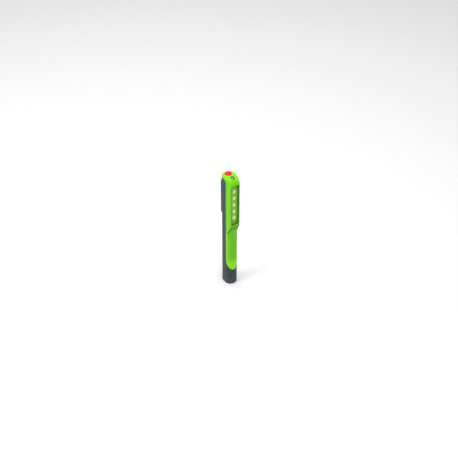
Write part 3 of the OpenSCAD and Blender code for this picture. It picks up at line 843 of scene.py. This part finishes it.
magnet_z = (magnet_low.z + magnet_high.z) / 2
magnet_seat = magnet_r + 0.05
carve(arm, in_place(turned([(0, -1), (magnet_seat, -1), (magnet_seat, -0.2),
                            (magnet_seat + 0.25, 0.05), (magnet_seat + 0.25, 1), (0, 1)],
                           (0, clip_out, magnet_z), (0, 1, 0), 56), "tool"))
clip_nylon = moulded("clip_nylon", tone(56, 66, 71), tone(49, 58, 63), 0.5)
finished(arm, "clip", clip_nylon, ["clip_arm"])


# ---- Clear window -------------------------------------------------------------------------
# A clear acrylic lens: a flat pad that fills the window's opening, set back from the frame,
# and a thin flange behind the frame that is held by the light board.

pad_y = lens_low.y
flange_y = head_front + wall
lens_back = lens_high.y
lens_profile = softened([(pad_y + 0.001, -0.9), (pad_y, -0.08), (flange_y, -0.08),
                         (flange_y + 0.001, 0.9), (lens_back, 0.9),
                         (lens_back + 0.001, -0.9)], 0.15, 2)
lens = lozenge(window_half_x, window_half_z, window_r, lens_profile, window_mid)


def see_through(name, colour, alpha, roughness, painted_shade_border=None, gloss=0.5):
    """Clear plastic: thin tint, faint flow marks, and, if asked, a painted shade border: a dark,
    nearly opaque band at the window's edges where the recess is in shadow.
    """
    material, place = start_finish(name)
    marks = place.noise(240, 3)
    tint = marks.colours(colour, tuple(0.85 * c for c in colour[:3]) + (1,))
    cover = marks * (alpha * 0.3) + alpha * 0.85
    if painted_shade_border is not None:
        # Painted shade: the band along the window's edges is darkened and made nearly opaque,
        # standing in for the shadowed recess round the pad.
        x, y, z = sides_of(place)
        across = place.math("ABSOLUTE", x) > window_half_x - painted_shade_border
        along = place.math("ABSOLUTE", z - window_mid) > window_half_z - painted_shade_border
        edge = place.math("MAXIMUM", across, along)
        tint = edge.colours(tint, tone(58, 112, 30))
        cover = place.math("MAXIMUM", cover, edge * 0.9)
    return end_finish(material, place, height=marks, depth=0.000003, Base_Color=tint,
                      Alpha=cover, Roughness=marks * 0.05 + roughness,
                      Specular_IOR_Level=gloss)


# The lens gets a painted shade border, 0.7 mm wide, along the window's edges.
clear_acrylic = see_through("clear_acrylic", tone(120, 210, 70), 0.14, 0.08, painted_shade_border=0.7, gloss=0.3)
finished(in_place(lens, "lens"), "housing", clear_acrylic, ["window_lens"])


# ---- Light board and its five lights ------------------------------------------------------
# A narrow printed board behind the window. Five square pale packages are soldered to it,
# each with a round well of yellow phosphor; the resistors between them sit on its back.

def metal(name, colour, roughness, brushed=(900, 900, 900)):
    """Plated or drawn metal: fine streaks along one way in its shade and its roughness."""
    material, place = start_finish(name)
    streaks = place.make("ShaderNodeMapping", {}, {"Vector": place, "Scale": brushed})
    lines = streaks.noise(1.0, 4, 0.6)
    dull = tuple(0.78 * c for c in colour[:3]) + (1,)
    return end_finish(material, place, height=lines, depth=0.000004,
                      Base_Color=lines.colours(dull, colour), Metallic=1.0,
                      Roughness=lines * 0.2 + (roughness - 0.1))


def printed_board(name, mask_colour, line_colour, pitch):
    """A printed board: solder mask over fine copper lines that stand up a little under it."""
    material, place = start_finish(name)
    x, y, z = sides_of(place)
    rows = place.math("FRACT", x / pitch + place.noise(55, 1) * 1.5)
    cross = place.math("FRACT", z / (pitch * 2.3) + place.noise(55, 1) * 1.5)
    line = place.math("MAXIMUM", rows < 0.3, cross < 0.16)
    speck = place.noise(2600, 2)
    return end_finish(material, place, height=line * 0.8 + speck * 0.2, depth=0.00002,
                      Base_Color=line.colours(mask_colour, line_colour),
                      Roughness=speck * 0.15 + 0.3)


def carried(slot_name, material, *nodes):
    """Gives CAD nodes, whose shape is already right, their finish."""
    for node in nodes:
        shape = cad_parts[node]
        shape.data.materials.clear()
        shape.data.materials.append(material)


board_low, board_high = box_mm("led_board")
strip_low, strip_high = box_mm("led_packages")
light_size = strip_high.x * 2
well_r = box_mm("led_phosphors")[1].x + 0.03
light_pitch = (strip_high.z - strip_low.z - light_size) / 4
light_places = [strip_low.z + light_size / 2 + i * light_pitch for i in range(5)]
strip_mask = printed_board("strip_board", tone(150, 222, 66), tone(160, 230, 80), 1.3)
carried("board", strip_mask, "led_board")
# Painted glow: the packages and the phosphor give off a little light of their own, though they are
# not lit.
package_white = moulded("package_white", tone(250, 255, 176), tone(244, 250, 160), 0.4, painted_glow=0.16)
phosphor = moulded("phosphor", tone(255, 252, 140), tone(255, 248, 120), 0.55, 0.00003,
                   painted_glow=0.22)
for number, z in enumerate(light_places, 1):
    half = light_size / 2
    package = in_place(block((-half, strip_low.y, z - half), (half, strip_high.y, z + half),
                             0.22, 2), "light_%d" % number)
    carve(package, in_place(turned([(0, -0.4), (well_r, -0.4), (well_r + 0.15, 0.02),
                                    (well_r + 0.15, 0.4), (0, 0.4)],
                                   (0, strip_low.y, z), (0, 1, 0), 40), "tool"))
    if number > 1:
        finished(package, "housing", package_white)
    else:
        finished(package, "housing", package_white, ["led_packages"])
carried("phosphor", phosphor, "led_phosphors")
tin = metal("tinned_metal", tone(205, 208, 205), 0.34)
copper = metal("pad_copper", tone(188, 128, 66), 0.42)
for number, z in enumerate(light_places, 1):
    for side in (-1, 1):
        pad = block((side * (light_size / 2 + 0.25) - 0.3, board_low.y - 0.12, z - 1.4),
                    (side * (light_size / 2 + 0.25) + 0.3, board_low.y + 0.05, z + 1.4), 0.07)
        finished(in_place(pad, "solder_%d_%s" % (number, "lr"[side > 0])), "housing",
                 copper)
chip_black = moulded("chip_black", tone(40, 41, 44), tone(28, 29, 32), 0.5)
carried("dark_plastic", chip_black, "driver_parts")


# ---- Switch board, its leads and contacts -------------------------------------------------
# The green board over the cells carries the push switch and the torch light. Gold pins join
# it to the light strip; brass and nickel contacts bring it the power from both ends.

switch_mask = printed_board("switch_board_mask", tone(22, 92, 46), tone(38, 120, 62), 1.1)
carried("green_board", switch_mask, "switch_board")
switch_black = moulded("switch_black", tone(38, 38, 41), tone(27, 27, 30), 0.42)
carried("dark_plastic", switch_black, "switch_body")
plunger_grey = moulded("plunger_grey", tone(146, 148, 150), tone(128, 130, 132), 0.38)
carried("dark_plastic", plunger_grey, "switch_plunger")
gold = metal("gold_plate", tone(230, 196, 110), 0.25, (300, 2500, 300))
carried("plated_metal", gold, "link_pins")
carried("plated_metal", tin, "torch_leads")
brass = metal("contact_brass", tone(216, 184, 108), 0.32, (2400, 260, 260))
carried("contact_brass", brass, "top_contact", "cap_contact")
nickel = metal("nickel_strip", tone(200, 196, 186), 0.3, (2400, 2400, 60))
carried("plated_metal", nickel, "negative_strip")
nylon = moulded("natural_nylon", tone(224, 222, 208), tone(208, 205, 190), 0.5)
carried("carrier_plastic", nylon, "contact_carrier")
tube_black = moulded("tube_black", tone(36, 37, 40), tone(26, 27, 29), 0.55)
carried("dark_plastic", tube_black, "battery_tube")
rubber = moulded("seal_rubber", tone(24, 24, 26), tone(15, 15, 17), 0.72, 0.00002, 0.2)
carried("seal_rubber", rubber, "cap_seal")


# ---- Cells --------------------------------------------------------------------------------
# Three cells in line, each a steel can in a printed plastic sleeve: dark below and copper
# coloured above, shrunk over both rims, with the bare terminal pressed up out of the top.

def sleeve(name, base_z, height):
    """Printed shrink sleeve: two bands and a thin ring, crinkled a little at both rims."""
    material, place = start_finish(name)
    x, y, z = sides_of(place)
    level = (z - base_z) / height
    band = place.make("ShaderNodeValToRGB", {
        "interpolation": "CONSTANT",
        "stops": [(0.0, tone(34, 36, 40)), (0.66, tone(206, 206, 200)),
                  (0.68, tone(190, 116, 60)), (0.955, tone(34, 36, 40))]}, {"Fac": level})
    crinkle = place.noise(700, 3)
    return end_finish(material, place, height=crinkle, depth=0.00002, Base_Color=band,
                      Metallic=0.35, Roughness=crinkle * 0.15 + 0.28)


steel = metal("drawn_steel", tone(196, 198, 200), 0.28, (2200, 2200, 2200))
for node in ("cell_bottom", "cell_middle", "cell_top"):
    low, high = box_mm(node)
    can_r = high.x
    shoulder = high.z - 1
    skin_profile = softened([(1.2, low.z + 0.15), (3.9, low.z + 0.15), (4.1, low.z),
                             (can_r, low.z), (can_r, shoulder), (3.6, shoulder),
                             (3.4, shoulder - 0.25), (1.2, shoulder - 0.25)], 0.5, 5)
    can = turned([(0, low.z + 0.15)] + skin_profile + [(0, shoulder - 0.25)],
                 (0, cell_y, 0), steps=56)
    finished(in_place(can, node + "_can"), "housing",
             sleeve(node + "_sleeve", low.z, shoulder - low.z), [node])
    nub = turned(softened([(0, shoulder - 0.3), (3.3, shoulder - 0.3), (3.3, shoulder - 0.1),
                           (1.9, shoulder - 0.05), (1.9, high.z), (0, high.z)], 0.25, 4),
                 (0, cell_y, 0), steps=40)
    finished(in_place(nub, node + "_terminal"), "housing", steel)


# ---- Contact spring -----------------------------------------------------------------------
# Round spring wire coiled four and a half times, with a closed end turn on the contact. It
# rides on the cap's contact plate and pushes the cells up against the top contact.

spring_low, spring_high = box_mm("contact_spring")
wire_r = 0.35
coil_r = spring_high.x - wire_r
turns = 4.5
rise = spring_high.z - spring_low.z - 2 * wire_r
wire = bmesh.new()
bmesh.ops.create_circle(wire, cap_ends=True, radius=wire_r, segments=12)
wire.transform(Matrix.Translation((coil_r, 0, wire_r)) @ Matrix.Rotation(math.pi / 2, 4, "X"))
start_ring = wire.faces[:] + wire.edges[:] + wire.verts[:]
wire_steps = 180
bmesh.ops.spin(wire, geom=start_ring, cent=(0, 0, 0), axis=(0, 0, 1),
               dvec=(0, 0, rise / wire_steps), angle=2 * math.pi * turns, steps=wire_steps,
               use_merge=False)
bmesh.ops.remove_doubles(wire, verts=wire.verts, dist=1e-4)
bmesh.ops.recalc_face_normals(wire, faces=wire.faces)
wire.transform(Matrix.Translation((0, cell_y, spring_low.z)))
spring_wire = metal("spring_wire", tone(206, 208, 212), 0.24, (1500, 1500, 1500))
finished(in_place(wire, "spring"), "cap", spring_wire, ["contact_spring"])


# ---- Torch light --------------------------------------------------------------------------
# A clear round light with a flange, lying in the tilted hole in a black sleeve. Inside the
# clear resin two frame posts end in a small bright cup that holds the yellow chip.

torch_tip = dome_r + 1.0                 # from the dome's centre to the light's tip
torch_l = 8.7
foot = torch_tip - torch_l
round_end = [(torch_r * math.cos(math.radians(a)),
              torch_tip - torch_r + torch_r * math.sin(math.radians(a)))
             for a in spread((0, 90, 14))]
bulb = turned([(0, foot), (torch_r + 0.32, foot), (torch_r + 0.4, foot + 0.1),
               (torch_r + 0.4, foot + 0.9), (torch_r + 0.32, foot + 1), (torch_r, foot + 1)] +
              round_end, dome_centre, torch_way, 56)
clear_resin = see_through("clear_resin", tone(222, 230, 214), 0.2, 0.03)
finished(in_place(bulb, "torch_bulb"), "housing", clear_resin, ["torch_led"])
cup_z = foot + 4.4
cup = turned(softened([(0, cup_z - 1.2), (1.15, cup_z - 1.2), (1.5, cup_z + 0.5),
                       (1.36, cup_z + 0.5), (0.6, cup_z - 0.5), (0, cup_z - 0.5)], 0.08, 2),
             dome_centre, torch_way, 40)
silver = metal("cup_silver", tone(240, 240, 236), 0.25)
finished(in_place(cup, "torch_cup"), "housing", silver)
# The yellow chip takes the phosphor finish with its painted glow.
chip = turned([(0, cup_z - 0.48), (0.55, cup_z - 0.48), (0.45, cup_z - 0.2), (0, cup_z - 0.15)],
              dome_centre, torch_way, 24)
finished(in_place(chip, "torch_chip"), "housing", phosphor)
lean = Vector((0, 0, 1)).rotation_difference(torch_way).to_matrix().to_4x4()
for side in (-1, 1):
    post = block((side * 1.1 - 0.25, -0.25, foot + 0.1), (side * 1.1 + 0.25, 0.25, cup_z - 0.9),
                 0.06)
    post.transform(Matrix.Translation(dome_centre) @ lean)
    finished(in_place(post, "torch_post_" + "lr"[side > 0]), "housing", silver)
# The sleeve is a real part; its black colour is also painted shade, standing in for the shadowed
# gap round the torch light.
sleeve_in, sleeve_out = torch_r + 0.05, torch_r + 0.35
sleeve_ring = turned(softened([(sleeve_in, 9.5), (sleeve_out, 9.5), (sleeve_out, 7.0),
                               (sleeve_in, 7.0), (sleeve_in, 9.5)], 0.08, 2),
                     dome_centre, torch_way, 56)
black_sleeve_painted_shade = moulded("black_sleeve_painted_shade", tone(26, 27, 29), tone(18, 19, 21), 0.5)
finished(in_place(sleeve_ring, "torch_sleeve"), "housing", black_sleeve_painted_shade,
         ["torch_bezel"])


# ---- Clip pin, magnet and screws ----------------------------------------------------------
# A plain steel pin pressed through the ears, a nickel plated disc magnet glued flush in the
# clip, and two zinc plated cross-head screws sunk in the back below the top.

pin_half = pin_high.x
pin = turned(softened([(0, -pin_half), (pin_r, -pin_half), (pin_r, pin_half), (0, pin_half)],
                      0.12, 3), (0, pin_y, pin_z), (1, 0, 0), 32)
finished(in_place(pin, "pin"), "housing", steel, ["clip_pin"])
magnet = turned(softened([(0, magnet_low.y), (magnet_r, magnet_low.y), (magnet_r, magnet_high.y),
                          (0, magnet_high.y)], 0.15, 3), (0, 0, magnet_z), (0, 1, 0), 56)
plate = metal("magnet_nickel", tone(206, 205, 200), 0.22, (1800, 1800, 1800))
finished(in_place(magnet, "magnet"), "clip", plate, ["clip_magnet"])
zinc = metal("zinc_plate", tone(176, 180, 184), 0.34)
for side in (-1, 1):
    seat = Vector((side * screw_x, seat_y, screw_z))
    shank = screw_low.y - seat_y
    turns_down = [(0, shank)]
    for step in range(9):
        turns_down += [(0.72, shank + 0.35 + 0.6 * step), (0.98, shank + 0.65 + 0.6 * step)]
    head = softened([(1.0, -0.02), (screw_r, 0.0), (screw_r, 1.0), (1.3, 1.4), (0, 1.4)], 0.25, 4)
    screw = in_place(turned(turns_down + head, seat, (0, 1, 0), 40), "screw_" + "lr"[side > 0])
    for turn in (0, 90):
        slot_cut = block((-1.1, -0.25, 0.6), (1.1, 0.25, 2.0), 0.05, 1)
        slot_cut.transform(Matrix.Translation(seat) @ Matrix.Rotation(-math.pi / 2, 4, "X") @
                           Matrix.Rotation(math.radians(turn), 4, "Z"))
        carve(screw, in_place(slot_cut, "tool"))
    if side > 0:
        finished(screw, "housing", zinc)
    else:
        finished(screw, "housing", zinc, ["housing_screws"])
